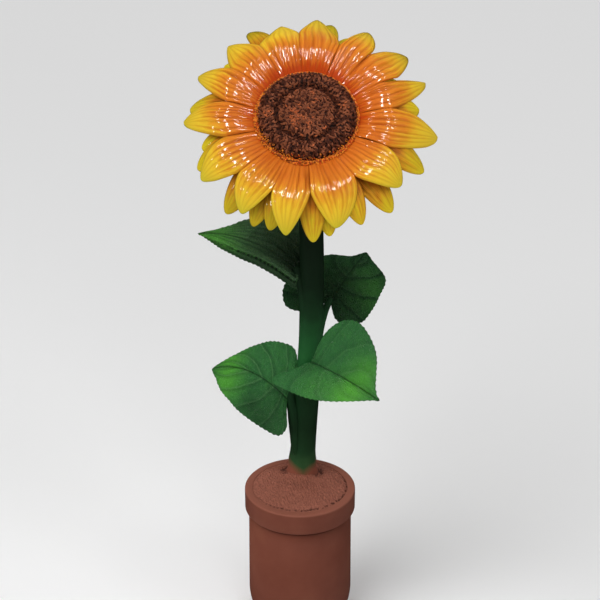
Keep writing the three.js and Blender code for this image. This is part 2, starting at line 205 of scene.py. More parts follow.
shoulder = []
for step in range(9):
    turn = step / 8 * pi / 2
    shoulder.append((POT_FOOT + (POT_WALL_LOW - POT_FOOT) * sin(turn),
                     POT_FOOT_TOP + (POT_SHOULDER - POT_FOOT_TOP) * (1 - cos(turn)) ** 0.8))
inside = [(POT_WALL_TOP, POT_TOP), (POT_WALL_LOW, POT_SHOULDER), (POT_FOOT, POT_FOOT_TOP),
          (POT_FOOT, POT_FLOOR)]
pot_bm = turned([(0, 0), (POT_FOOT, 0), *shoulder, (POT_WALL_TOP, POT_TOP),
                 *((r - POT_WALL, h) for r, h in inside), (0, POT_FLOOR)], POT_STEPS)
round_ring(pot_bm, POT_FOOT, 0, 1.5, 3)
pot = as_piece("pot_shell", pot_bm, terracotta)
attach(pot, "root")
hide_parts("pot_body")

# the band has a ledge inside, which carries the soil and sits on the body's top
band_bm = turned([(BAND_RADIUS, BAND_BOTTOM), (BAND_RADIUS, BAND_TOP), (BAND_BORE, BAND_TOP),
                  (BAND_BORE, LEDGE_TOP), (LEDGE_BORE, LEDGE_TOP), (LEDGE_BORE, LEDGE_BOTTOM),
                  (BAND_SLEEVE, LEDGE_BOTTOM), (BAND_SLEEVE, BAND_BOTTOM)], BAND_STEPS, closed=True)
round_ring(band_bm, BAND_RADIUS, BAND_TOP, 2.6, 5)
round_ring(band_bm, BAND_BORE, BAND_TOP, 0.4, 3)
round_ring(band_bm, BAND_RADIUS, BAND_BOTTOM, 1.6, 4)
pot_band = as_piece("pot_band", band_bm, terracotta)
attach(pot_band, "root")
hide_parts("pot_rim")

# ---------------- soil
# The moulded soil that closes the pot: a low grained dome in the same resin, painted lighter than the pot
# as painted light on its upward face, with a ragged gap where it meets the band and a hollow at the stem.
SOIL_RADIUS, SOIL_RINGS, SOIL_STEPS = 85.7, 84, 420
SOIL_EDGE, SOIL_RISE, SOIL_UNDERSIDE = 267.6, 9.4, 250.0
GAP_DEPTH, GAP_WIDTH = 7.0, 1.6
FOOT_CENTRE = (4.0, 46.0)
HOLLOW_DEPTH, HEAP_HEIGHT = 4.8, 3.5


def uneven(x, y, z):
    """Smooth unevenness at a point, from about -1 to 1."""
    return noise.noise(Vector((x, y, z)))


def soil_height(x, y):
    """Height of the soil's upper face and how deep it is pitted there, all in mm."""
    reach, bearing = hypot(x, y), atan2(y, x)
    height = SOIL_EDGE + SOIL_RISE * (1 - (reach / SOIL_RADIUS) ** 2)
    grain = 0.5 * uneven(x * 0.42, y * 0.42, 0.0) + 0.35 * uneven(x, y, 7.0)
    strokes = uneven(x * 0.42 + y * 0.09, y * 0.13, 4.0)
    clods = uneven(x * 0.11, y * 0.11, 3.0)
    pits = uneven(x * 0.24, y * 0.24, 5.0) + 0.5 * uneven(x * 0.6, y * 0.6, 2.0)
    near_right = max(0.0, 0.3 + 0.7 * cos(bearing + 0.95))
    ragged = uneven(cos(bearing) * 9, sin(bearing) * 9, 1.0)
    ragged += 0.8 * uneven(cos(bearing) * 26, sin(bearing) * 26, 6.0)
    gap_at = SOIL_RADIUS - 1.4 - 3.4 * max(0.0, -sin(bearing)) + 1.8 * ragged
    depth = GAP_DEPTH * near_right * max(0.0, 0.4 + 1.9 * pits)
    gap = depth * exp(-((reach - gap_at) / GAP_WIDTH) ** 2)
    rim_ward = max(0.0, reach - SOIL_RADIUS + 0.5) ** 2
    # against the stem the soil is heaped up in front and hollow at both sides
    foot_x, foot_y = x - FOOT_CENTRE[0], y - FOOT_CENTRE[1]
    foot, foot_bearing = hypot(foot_x, foot_y), atan2(foot_y, foot_x)
    beside = max(0.0, cos(2 * foot_bearing + 0.25))
    hollow = HOLLOW_DEPTH * beside * max(0.0, 0.7 + 1.3 * pits)
    hollow *= exp(-((foot - 32.0 - 2.0 * beside) / 6.0) ** 2)
    heap = HEAP_HEIGHT * max(0.0, cos(foot_bearing + 1.9)) * exp(-(max(0.0, foot - 29.0) / 7.5) ** 2)
    rough = min(1.0, max(0.0, (gap_at - reach + 0.5) / 3.0))
    height += heap + (0.8 * grain + 1.9 * strokes + 0.6 * clods) * rough - gap - rim_ward - hollow
    return height, gap + hollow


def reading(material, name):
    """What the mesh holds for each point under this name, as a socket."""
    node = material.node_tree.nodes.new("ShaderNodeAttribute")
    node.attribute_name = name
    return node.outputs["Fac"]


soil_paint, soil_place = new_material("soil_paint", {"Roughness": 0.8, "Specular IOR Level": 0.3})
soil_grain = speckle(soil_place, 330.0, 6.0, 0.7)
# painted light: these colours are lighter than the pot's because the soil faces up to the light
soil_lit_tint = ramp(soil_grain, [
    (0.3, (112, 64, 50)), (0.5, (139, 83, 66)), (0.7, (158, 99, 80))])
soil_drift = graded(speckle(soil_place, 24.0, 3.0), 0.3, 0.7, 0.0, 1.0)
soil_drift = blend(soil_drift, (0.85, 0.83, 0.82, 1), (1.05, 1.04, 1.03, 1))
soil_lit_tint = blend(1.0, soil_lit_tint, soil_drift, "MULTIPLY")
# painted shade: darker in the ragged gap at the band and in the hollows beside the stem
pit_shade = graded(reading(soil_paint, "pit"), 0.5, 2.6, 0.0, 0.7)
feed("Base Color", blend(pit_shade, soil_lit_tint, paint(52, 27, 20)))
bump(soil_grain, 0.5, 0.001)

soil_profile = [(SOIL_RADIUS * (1 - ring / SOIL_RINGS), 0) for ring in range(SOIL_RINGS + 1)]
soil_bm = turned(soil_profile, SOIL_STEPS)
pit_layer = soil_bm.verts.layers.float.new("pit")
for vert in soil_bm.verts:
    height, pit = soil_height(vert.co.x / MM, vert.co.y / MM)
    vert.co.z = height * MM
    vert[pit_layer] = pit
soil_rim = [e for e in soil_bm.edges if e.is_boundary]
for item in bmesh.ops.extrude_edge_only(soil_bm, edges=soil_rim)["geom"]:
    if isinstance(item, bmesh.types.BMVert):
        item.co.z = SOIL_UNDERSIDE * MM
soil = as_piece("moulded_soil", cleaned(soil_bm, 0.01, holes=True), soil_paint)
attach(soil, "root")
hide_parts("soil")

# ---------------- stem
# One thick stem of glass-fibre resin over a steel rod, airbrushed matt dark green. Its
# flared foot is set in the soil and fades into the pot's brown; its neck bends forward.
# Each station of a limb is its middle (x, y, z) and its radius, in mm.
STEM_LINE = [
    (4, 46, 258, 31), (4, 46, 272, 29), (4, 45.5, 285, 25.5), (4.5, 45, 304, 23.6), (9, 42, 377, 22.4),
    (14, 40, 460, 21.9), (18.8, 37.5, 543, 21.3), (20.3, 34.5, 638, 20.9), (19.7, 32, 733, 20.6),
    (17, 29.5, 818, 20.4), (14, 28, 868, 20.4)]
HEAD_CENTRE = Vector((11, -50, 978))
HEAD_TILT = radians(43)
FACING = Vector((0, -sin(HEAD_TILT), cos(HEAD_TILT)))
CALYX_NECK, NECK_GAP, NECK_LENGTH, NECK_RADIUS = -80.0, 0.3, 28.0, 20.4
COLLAR_HEIGHT, COLLAR = 297.0, 1.6


def line_point(stations, share):
    """A point (x, y, z, radius) on the smooth line through the stations, share from 0 to 1."""
    last = len(stations) - 1
    at = min(int(share * last), last - 1)
    u = share * last - at
    known = [Vector(s) for s in stations]
    before = known[at - 1] if at > 0 else known[0] * 2 - known[1]
    after = known[at + 2] if at < last - 1 else known[last] * 2 - known[last - 1]
    a, b = known[at], known[at + 1]
    quad = [before, a, b, after]
    spans = [max(1e-4, (q.xyz - p.xyz).length) ** 0.5 for p, q in zip(quad, quad[1:])]
    lead = [(quad[k + 1] - quad[k]) / spans[k] - (quad[k + 2] - quad[k]) / (spans[k] + spans[k + 1])
            + (quad[k + 2] - quad[k + 1]) / spans[k + 1] for k in (0, 1)]
    start, end = lead[0] * spans[1], lead[1] * spans[1]
    return (a + start * u + (b * 3 - a * 3 - start * 2 - end) * u ** 2
            + (a * 2 - b * 2 + start + end) * u ** 3)


def tube(stations, around, along, relief):
    """A round limb through the stations in mm; relief(turn, share, point) adds to its radius."""
    bm = bmesh.new()
    bm.loops.layers.uv.new("skin")
    bmesh.ops.create_grid(bm, x_segments=around, y_segments=along, size=0.5, calc_uvs=True)
    stops = []
    for row in range(along + 1):
        share = row / along
        centre = line_point(stations, share)
        after, before = (line_point(stations, min(1.0, max(0.0, share + step)))
                         for step in (0.004, -0.004))
        # a limb's first ring is level
        ahead = ((after - before).xyz if row else Vector((0, 0, 1))).normalized()
        right = (Vector((1, 0, 0)) - ahead * ahead.x).normalized()
        stops.append((centre, right, ahead.cross(right)))
    for vert in bm.verts:
        turn = (vert.co.x + 0.5) * 2 * pi
        row = round((vert.co.y + 0.5) * along)
        centre, right, front = stops[row]
        out = right * cos(turn) + front * sin(turn)
        vert.co = (centre.xyz + out * (centre.w + relief(turn, row / along, centre))) * MM
    return cleaned(bm, 0.02, holes=True)


def stem_relief(turn, share, centre):
    """Hand-modelled unevenness of the stem, in mm."""
    around = Vector((cos(turn), sin(turn), centre.z * 0.012))
    lumps = 0.55 * noise.noise(around * 1.3)
    fibres = 0.16 * uneven(cos(turn) * 6, sin(turn) * 6, centre.z * 0.02)
    collar = COLLAR * exp(-((centre.z - COLLAR_HEIGHT) / 14) ** 2)
    return (lumps + fibres + collar) * min(1.0, (1 - share) * 25)


stem_green, stem_place = new_material("stem_green", {"Roughness": 0.62, "Specular IOR Level": 0.12})
stem_height = add_node("SeparateXYZ", {"Vector": stem_place}).outputs
stem_cloud = speckle(stem_place, 34.0, 4.0)
# the ramp paints the stem lighter at its foot and between the two pairs of leaves and darkest under the
# flower head, partly as the airbrush's shading and partly as painted shade
stem_spray_and_shade = sums("ADD", stem_height["Z"], sums("MULTIPLY", stem_cloud, 0.05))
stem_tint_and_shade = ramp(stem_spray_and_shade, [
    (0.3, (52, 84, 48)), (0.35, (25, 56, 30)), (0.4, (17, 42, 21)), (0.47, (18, 48, 23)),
    (0.54, (30, 86, 40)), (0.58, (27, 76, 37)), (0.63, (20, 51, 26)), (0.68, (15, 34, 18)),
    (0.79, (14, 29, 15)), (0.9, (28, 62, 34))])
# the pot's brown reaches higher at the foot's two sides than in front
stem_side = sums("ABSOLUTE", sums("SUBTRACT", stem_height["X"], 0.006), 0.0)
stem_fade = sums("SUBTRACT", stem_height["Z"], sums("MULTIPLY", stem_side, 0.62))
stem_fade = sums("ADD", stem_fade, sums("MULTIPLY", stem_cloud, 0.012))
foot_share = graded(stem_fade, 0.279, 0.298, 1.0, 0.0)
feed("Base Color", blend(foot_share, stem_tint_and_shade, paint(130, 74, 57)))
bump(speckle(stem_place, 260.0, 4.0), 0.2, 0.0005)

neck_end = HEAD_CENTRE + FACING * (CALYX_NECK - NECK_GAP)
neck_start = neck_end - FACING * NECK_LENGTH
stem_stations = STEM_LINE + [(*neck_start, NECK_RADIUS), (*neck_end, NECK_RADIUS)]
stem = as_piece("stem_limb", tube(stem_stations, 72, 260, stem_relief), stem_green)
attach(stem, "root")
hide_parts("stem")

# ---------------- leaves
# Heart-shaped leaves moulded in resin about 3 mm thick, with veins and fine teeth, and airbrushed green
# with yellow-green patches near their tips; the dark green towards the stalk is painted shade.
LEAF_THICK, LEAF_RUNGS, LEAF_STEPS, MARGIN_STEPS = 3.0, 120, 84, 600
TOOTH, MIDRIB, SIDE_VEIN, CRUMPLE, MARGIN_ROLL = 1.5, 1.5, 0.5, 1.1, 2.2
TUCK, DISH, PUCKER, CREST_RISE, FOLD_WAY = 10.0, 2.5, 5.0, 3.0, Vector((0, 0.91, -0.41))
# Each leaf has its midrib's two ends, the way its face looks, its margins as (along, across) from
# the base in mm, and the bend of each half in degrees. Its bright patches and painted shadows are
# (along, across, size, strength), its stalk shade is the reach and strength of the painted shade at
# the stalk, its shade is a tint on its whole green set by how it is lit, partly painted light and
# shade, and its vein strengths are those of each side vein's band of painted shade and line of
# painted highlight.
LEAVES = {
    "leaf_upper_left": dict(
        base=(-5, 33, 683), tip=(-179, 100, 721), up=(-0.09, -0.66, 0.75), arch=20, folds=(25, 0), veins=8,
        left=[(-5, 14), (-13, 21), (-10, 30), (4, 33), (37, 34), (63, 34), (98, 34), (135, 26), (167, 12)],
        right=[(-6, 14), (-15, 30), (-16, 51), (-4, 71), (22, 79), (56, 73), (87, 54), (117, 33),
               (135, 20), (152, 10), (170, 4)],
        patches=[(176, 0, 50, 0.6), (150, 10, 24, 0.25), (118, 26, 28, 0.22)], shadows=[],
        shade=(1.6, 0.72, 1.25), stalk_shade=(102, 1.1), relief=1.6, vein_light_and_shade=(0.6, 0.1), sweep=0, curled=True),
    "leaf_upper_right": dict(
        base=(55, 65, 609), tip=(120, 170, 657), up=(0.39, -0.57, 0.73), arch=4, folds=(25, 12), veins=6,
        left=[(-13, 12), (-34, 27), (-47, 47), (-43, 69), (-22, 85), (6, 90), (42, 86), (70, 69), (92, 48),
              (102, 28), (107, 17), (122, 6)],
        right=[(-12, 10), (-20, 24), (-16, 43), (-4, 59), (18, 72), (43, 74), (66, 73), (91, 69), (112, 65),
               (125, 53), (128, 32), (129, 12)],
        patches=[(70, -55, 46, 0.22)], shadows=[(60, 60, 40, 0.25), (-28, 70, 36, 0.3)],
        shade=(0.58, 0.5, 0.6), stalk_shade=(90, 0.75), relief=2.0, vein_light_and_shade=(0.85, 0.12), sweep=0.9),
    "leaf_lower_left": dict(
        base=(-21, 33, 427), tip=(-164, 141, 434), up=(-0.51, -0.7, 0.5), arch=27, folds=(0, 0), veins=7,
        left=[(3, 12), (-4, 22), (-12, 36), (-11, 51), (-2, 65), (20, 74), (51, 78), (87, 73), (114, 60),
              (141, 43), (164, 16)],
        right=[(2, 12), (2, 31), (3, 51), (8, 69), (20, 81), (43, 76), (71, 64), (100, 45), (124, 29),
               (151, 14)],
        patches=[(130, 34, 34, 0.85), (140, -14, 32, 0.7)], shadows=[(18, 66, 44, 0.5), (66, 56, 30, 0.35)],
        shade=(1.2, 1.16, 1.2), stalk_shade=(52, 0.35), relief=1.9, vein_light_and_shade=(0.36, 0.28), sweep=1.5),
    "leaf_lower_right": dict(
        base=(19, 4.5, 518), tip=(131, -116.5, 507), up=(-0.57, -0.58, 0.59), arch=5, folds=(-20, -15),
        veins=6,
        left=[(5, 13), (7, 34), (14, 57), (34, 82), (59, 98), (87, 99), (116, 84), (136, 63), (145, 37),
              (152, 14)],
        right=[(-3, 13), (-19, 23), (-35, 36), (-51, 51), (-47, 61), (-22, 64), (20, 64), (51, 60), (81, 50),
               (107, 37), (132, 22), (153, 8)],
        patches=[(112, -22, 36, 1.05), (128, 30, 28, 0.6), (40, -40, 30, 0.25)], shadows=[],
        shade=(1.28, 1.2, 1.28), stalk_shade=(34, 0.25), relief=1.15, vein_light_and_shade=(0.2, 0.16), sweep=1.2)}


def margin_points(leaf, side, length, count):
    """Evenly spaced (along, across) points on one margin of a leaf."""
    stations = [(0, 0, 0, 0), *((a, w, 0, 0) for a, w in leaf[side]), (length, 0, 0, 0)]
    fine = [line_point(stations, k / MARGIN_STEPS) for k in range(MARGIN_STEPS + 1)]
    travelled = [0.0]
    for a, b in zip(fine, fine[1:]):
        travelled.append(travelled[-1] + (b - a).length)
    points = []
    k = 0
    for step in range(count + 1):
        goal = travelled[-1] * step / count
        while k < MARGIN_STEPS - 1 and travelled[k + 1] < goal:
            k += 1
        span = max(1e-6, travelled[k + 1] - travelled[k])
        spot = fine[k].lerp(fine[k + 1], min(1.0, (goal - travelled[k]) / span))
        points.append((spot.x, spot.y))
    return points


def facing(bm, way):
    """An open skin turned so that its faces look the given way."""
    if sum(f.normal.dot(way) * f.calc_area() for f in bm.faces) < 0:
        bmesh.ops.reverse_faces(bm, faces=bm.faces)
    return bm


def folded(t, out, along, length):
    """The curled leaf's front half at one point. It is dished, humps up, and turns back under at
    its margin, where the fold puckers with nibs between the puckers. The paint puts painted shade
    in the puckers and the tucked strip and painted highlights on the nibs, and keeps the crest light."""
    share = min(1.0, max(0.0, along / length))
    crest_at = 0.5 + 0.32 * share ** 1.5 + 0.16 * (1 - share) ** 5
    past = max(0.0, out - crest_at) / (1 - crest_at)
    near_ends = min(1.0, t * 6, (1 - t) * 6)
    crest = exp(-((out - crest_at) / (0.2 if out < crest_at else 0.07)) ** 2) * near_ends
    tucked = sin(pi / 2 * past) * near_ends
    beat = 0.5 + 0.5 * sin(0.85 * along + 5 * uneven(along * 0.08, 3.3, 8.7))
    on_fold = exp(-((past - 0.2) / 0.16) ** 2) * min(1.0, past / 0.08) * near_ends
    dished = sin(pi * min(1.0, out / crest_at)) * near_ends
    return crest, tucked, 0.5 * beat * on_fold, (1 - beat) * on_fold, dished


def point_layers(bm, *names):
    """Room on the mesh for one number per point under each name."""
    for name in names:
        bm.verts.layers.float.new(name)
    return [bm.verts.layers.float[name] for name in names]


def leaf_mesh(leaf):
    """The leaf's upper skin, with what its paint reads of veins, light patches, painted shade and painted
    highlights.
    """
    base = Vector(leaf["base"])
    span = Vector(leaf["tip"]) - base
    length = span.length
    ahead = span.normalized()
    up = Vector(leaf["up"])
    up = (up - ahead * up.dot(ahead)).normalized()
    leftward = up.cross(ahead)
    sides, margins = {}, {}
    for side, sign, fold in zip(("left", "right"), (1, -1), leaf["folds"]):
        turn = radians(fold)
        sides[side] = leftward * (sign * cos(turn)) - up * sin(turn)
        margins[side] = margin_points(leaf, side, length, LEAF_RUNGS)
    curled = leaf.get("curled", False)
    bm = bmesh.new()
    phase_layer, gap_layer, rib_layer, patch_and_highlight_layer, shade_layer = point_layers(
        bm, "phase", "gap", "from_rib", "bright", "dark")
    bmesh.ops.create_grid(bm, x_segments=LEAF_STEPS, y_segments=LEAF_RUNGS, size=0.5)
    for vert in bm.verts:
        s = vert.co.x * 2
        row = round((vert.co.y + 0.5) * LEAF_RUNGS)
        t = row / LEAF_RUNGS
        side = "left" if s > 0 else "right"
        out = abs(s)
        edge_along, edge_across = margins[side][row]
        rib = length * (0.02 * sin(pi * t) + t ** 1.7)
        # fine teeth on the margin
        tooth = 1 - abs((row % 4) / 2 - 1)
        teeth = TOOTH * tooth * min(1.0, 12 * t) * max(0.0, out - 0.88) * 8
        reach = hypot(edge_along - rib, edge_across) + 1e-6
        stretch = out * (1 + (teeth - 0.5 * (out > 0.95)) / max(12.0, reach))
        along = rib + (edge_along - rib) * stretch
        across = max(0.0, edge_across) * stretch
        # ribs: a groove along the middle, raised side veins with cushions between them
        from_rib = across
        groove = exp(-(from_rib / 1.7) ** 2)
        bowing = 0.1 * uneven(along * 0.03, across * 0.03, leaf["arch"] * 3.0)
        phase = t ** 0.8 * leaf["veins"] + bowing - leaf["sweep"] * out * (1.2 - 0.2 * out) * (0.5 + t)
        spacing = max(6.0, reach * out * 0.25 + 6)
        if curled:
            phase = (4.2 if s > 0 else 6.0) * out + 3.0 * bowing
            spacing = 9.0 - 5.0 * max(0.0, along / length - 0.35)
        wave = phase % 1.0
        off_vein = min(wave, 1 - wave)
        vein = exp(-(off_vein * spacing / 1.3) ** 2) * min(1.0, from_rib / 4) * (1 - 0.65 * out)
        cushion = sin(pi * wave) ** 0.8 * min(1.0, from_rib / 9) * (1 - 0.5 * out)
        crumple = uneven(along * 0.07, (s > 0) * 9 + across * 0.07, leaf["arch"])
        ripple = uneven(along * 0.2, across * 0.05, leaf["arch"] + 5.0)
        swelling = 0.6 + max(0.0, 1.3 * (1 - t)) if curled else 1.5
        lift = leaf["relief"] * (swelling * cushion + CRUMPLE * crumple * min(1.0, from_rib / 12))
        lift += SIDE_VEIN * vein - MIDRIB * groove
        lift += 0.9 * ripple * max(0.0, out - 0.6)
        if curled and s > 0:
            crest, tucked, pucker, nib, dished = folded(t, out, along, length)
        else:
            crest = tucked = pucker = nib = dished = 0.0
            lift -= MARGIN_ROLL * (max(0.0, out - 0.84) / 0.16) ** 1.3 * min(1.0, t * 6, (1 - t) * 8)
        share = along / length
        rise = leaf["arch"] * (4 * share * (1 - share) if share > 0 else 4 * share)
        spot = base + ahead * along + sides[side] * across + Vector((0, 0, rise)) + up * (lift + 0.5)
        spot += FOLD_WAY * (TUCK * tucked + DISH * dished + PUCKER * pucker - CREST_RISE * crest)
        vert.co = spot * MM
        vert[phase_layer] = phase
        # on the curled leaf's crest the side veins' painted shade and highlight lines fade, leaving it
        # lighter
        vert[gap_layer] = spacing + 40 * crest
        vert[rib_layer] = from_rib
        # painted shade: dark towards the stalk, spared on the curled leaf's crest, and in its tucked strip
        # and puckers
        stalk_shade_reach, stalk_shade = leaf["stalk_shade"]
        near_stalk = max(0.0, 1 - hypot(along, across) / stalk_shade_reach)
        stalk_shade *= near_stalk ** 0.7 * (1 - crest) * (1 - tucked)
        vert[shade_layer] = stalk_shade + 0.45 * tucked + 2.0 * pucker
        signed = across if s > 0 else -across
        # painted highlights on the nibs between the puckers, then the bright patches and the painted shadows
        vert[patch_and_highlight_layer] = 0.45 * nib
        for layer, spots in ((patch_and_highlight_layer, leaf["patches"]), (shade_layer, leaf["shadows"])):
            for a, w, size, power in spots:
                vert[layer] += power * exp(-((along - a) ** 2 + (signed - w) ** 2) / size ** 2)
    return facing(cleaned(bm, 0.03), up)


def nudged(value, grain, strength):
    """The value, moved up and down by a grain from 0 to 1."""
    moved = sums("MULTIPLY", sums("SUBTRACT", grain, 0.5), strength)
    return sums("ADD", value, moved)


def leaf_paint(name, shade, vein_shade_strength, vein_highlight_strength):
    """Airbrushed green, lighter at the bright patches, with painted shade at the stalk, in the midrib's
    groove and in painted shadows. The last two arguments are how strong the band of painted shade and
    the line of painted highlight at each side vein are."""
    material, place = new_material(name, {"Roughness": 0.3, "Specular IOR Level": 0.4})
    phase, gap, from_rib, bright, dark = (
        reading(material, name) for name in ("phase", "gap", "from_rib", "bright", "dark"))
    cloud = speckle(place, 42.0, 5.0, 0.65)
    fine = speckle(place, 170.0, 4.0)
    mottle = sums("MULTIPLY", sums("ADD", cloud, fine), 0.5)
    # the tint on the whole green is set by how each leaf is lit, so it is partly painted light and shade
    green = ramp(mottle, [(0.25, (37, 86, 44)), (0.55, (45, 99, 49)), (0.8, (53, 110, 54))], shade)
    # yellow-green airbrushed patches, and painted highlights on the curled leaf's nibs
    tip = clamped(nudged(bright, mottle, 0.5))
    green = blend(sums("MULTIPLY", tip, 0.9), green, paint(80, 158, 50))
    # distance from the nearest side vein, in mm, makes a thin line of painted highlight beside a band of
    # painted shade, the shade partly a dark wash
    vein_highlight, wide = (sums("MULTIPLY", sums("PINGPONG", on, 0.5), gap)
                  for on in (phase, sums("ADD", phase, 0.09)))
    vein_highlight = graded(vein_highlight, 0.2, 0.9, vein_highlight_strength, 0.0)
    wide = graded(wide, 0.4, 3.4, vein_shade_strength, 0.0)
    midrib_shade = graded(from_rib, 0.5, 2.0, 0.65, 0.0)
    # painted shade beside the veins and in the midrib's groove, a painted highlight on the veins, and the
    # painted shade and shadows read from the mesh
    for share, colour in ((wide, paint(16, 48, 24)), (vein_highlight, paint(104, 158, 98)),
                          (midrib_shade, paint(10, 28, 14)), (clamped(dark), paint(16, 30, 17))):
        green = blend(share, green, colour)
    feed("Base Color", green)
    bump(speckle(place, 330.0, 2.0), 1.0, 0.004)
    return material


for leaf_name, leaf in LEAVES.items():
    blade_paint = leaf_paint(leaf_name + "_paint", leaf["shade"], *leaf["vein_light_and_shade"])
    blade = as_piece(leaf_name.replace("leaf", "blade"), leaf_mesh(leaf), blade_paint)
    wall = blade.modifiers.new("thickness", "SOLIDIFY")
    wall.thickness = LEAF_THICK * MM
    wall.offset = -0.6
    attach(blade, "root")
    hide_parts(leaf_name)

# ---------------- leaf stalks
# Each leaf's stalk is part of the same resin casting, laid along the stem and smoothed
# into it before the green was sprayed on.
STALKS = {
    "stalk_upper_left": [(9, 30, 570, 3), (8, 27, 589, 7), (6, 27, 630, 8), (1, 29, 658, 8),
                         (-5, 34, 686, 7)],
    "stalk_upper_right": [(28, 30, 515, 3), (31, 33, 531, 6), (35, 40, 566, 7.5), (43, 53, 593, 7),
                          (54, 66, 611, 5.5)],
    "stalk_lower_left": [(-6, 33, 306, 3), (-8, 30, 327, 7), (-10, 30, 368, 9.5), (-12, 32, 403.5, 10.5),
                         (-15, 38, 430, 9), (-12, 41, 448, 6)],
    "stalk_lower_right": [(14, 24, 418, 3), (15, 21, 436, 6), (17, 17, 471, 8), (19, 12.5, 497, 7.5),
                          (21, 6.5, 513, 6)]}


def stalk_relief(turn, share, centre):
    """Slight unevenness of a stalk, in mm."""
    return 0.4 * uneven(cos(turn), sin(turn), centre.z * 0.05)


for stalk_name, stations in STALKS.items():
    stalk_bm = tube(stations, 24, 40, stalk_relief)
    stalk = as_piece(stalk_name.replace("stalk", "leafstalk"), stalk_bm, stem_green)
    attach(stalk, "root")
    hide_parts(stalk_name)

# ---------------- petals
# Three layers of ray petals cast in resin, 4 mm thick, ridged lengthwise. They are sprayed
# yellow, then orange and red-orange towards the disc, and finished in thick clear gloss.
# They rise from ROOT to a crest and droop from there; reaches are from the flower's middle, and
# heights from the disc's plane, in mm.
ROOT, ROOT_HEIGHT, CREST_AT, CREST = 78.4, -6.0, 130.0, 8.0
DROOP, TOP_LIFT, DROOP_SPAN = 44.0, 8.0, 70.0
CROWN, PETAL_THICK, LAYER_DROP, RIDGE, CREASE, EDGE_ROLL, TIP_ROLL = 4.0, 4.0, 12.3, 1.0, 3.2, 1.8, 2.0
# the last two place the painted olive shade on the lower left rear petals: its bearing below, and its
# spread, in degrees
RIDGE_WIDTH, FRONT_GAP, SHADED_REAR_SIDE, SHADED_REAR_SPREAD = 9.5, 0.15, 116.0, 24.0
# front petals share notches with their neighbours: the bearing and reach of the notch at the low
# side, the tip's bearing and reach, how full the low and high sides are, and the crest's shift
FRONT = [
    (95, 154, 103.5, 179, 1.72, 1.6, 0), (68, 140, 85, 199, 1.42, 1.4, 4),
    (48, 152, 60.5, 206, 1.84, 1.1, -6), (26, 158, 41.5, 221, 1.25, 1.2, -2),
    (5, 134, 26, 215, 1.15, 2.2, 6), (-24, 136, -2.5, 210, 1.15, 2.2, 2),
    (-56, 130, -37, 184, 1.24, 1.78, -9), (-88, 136, -76, 187, 1.24, 1.72, -4),
    (-112, 142, -100, 193, 1.72, 1.3, -15), (-136, 142, -123, 187, 1.84, 1.18, -9),
    (-163, 134, -150, 192, 1.7, 1.4, -14), (-191, 130, -182.5, 197, 1.7, 1.05, -3),
    (-216, 148, -207.5, 198, 1.4, 1.12, -2), (-240, 152, -228.5, 193, 1.35, 1.2, 5)]
# rear petals: the tip's bearing and reach, and half the width
MIDDLE = [
    (9, 182, 24), (-21, 199, 25), (-63, 189, 20), (-87, 195, 21), (-108, 188, 20), (-131, 194, 22),
    (-157, 188, 25), (-190.5, 191, 27), (-218, 168, 22), (-244.5, 225, 18), (78.5, 205, 19), (43, 176, 26)]
BACK = [
    (-46, 193, 23), (-79, 187, 20), (-117, 187, 20), (-167, 171, 22), (-204, 166, 26), (-236, 160, 23),
    (98, 168, 23), (67, 186, 18), (28, 170, 24), (-12, 170, 24)]
HEAD_PLACE = Matrix.Translation(HEAD_CENTRE) @ Matrix.Rotation(HEAD_TILT, 4, "X")


def petal_height(reach, bearing):
    """Height of the petals' upper side above the disc's plane, in mm."""
    if reach < CREST_AT:
        return ROOT_HEIGHT + (CREST - ROOT_HEIGHT) * sin((reach - ROOT) / (CREST_AT - ROOT) * pi / 2)
    return CREST - (DROOP - TOP_LIFT * sin(bearing)) * ((reach - CREST_AT) / DROOP_SPAN) ** 2


def narrowing(s, fullness, nub, taper=0.95):
    """1 where a blade is widest, 0 at its tip, with a small rounded nub at the end."""
    s = min(1.0, max(0.0, s))
    if s > 0.9999:
        return 0.0
    return (1 - nub) * (1 - s ** fullness) ** taper + nub * (1 - s ** 12) ** 0.5


def on_head(reach, bearing, height):
    """A point in metres from its reach, bearing and height on the tilted flower, in mm."""
    return HEAD_PLACE @ Vector((reach * cos(bearing), reach * sin(bearing), height)) * MM


def uneven_lanes(dice, count):
    """Splits a petal's width into ridges of uneven width: their edges from -1 to 1, and heights."""
    widths = [dice.uniform(0.6, 1.5) for _ in range(count)]
    edges = [-1.0]
    for width in widths:
        edges.append(edges[-1] + 2 * width / sum(widths))
    return edges, [dice.uniform(0.35, 1.6) for _ in range(count)]


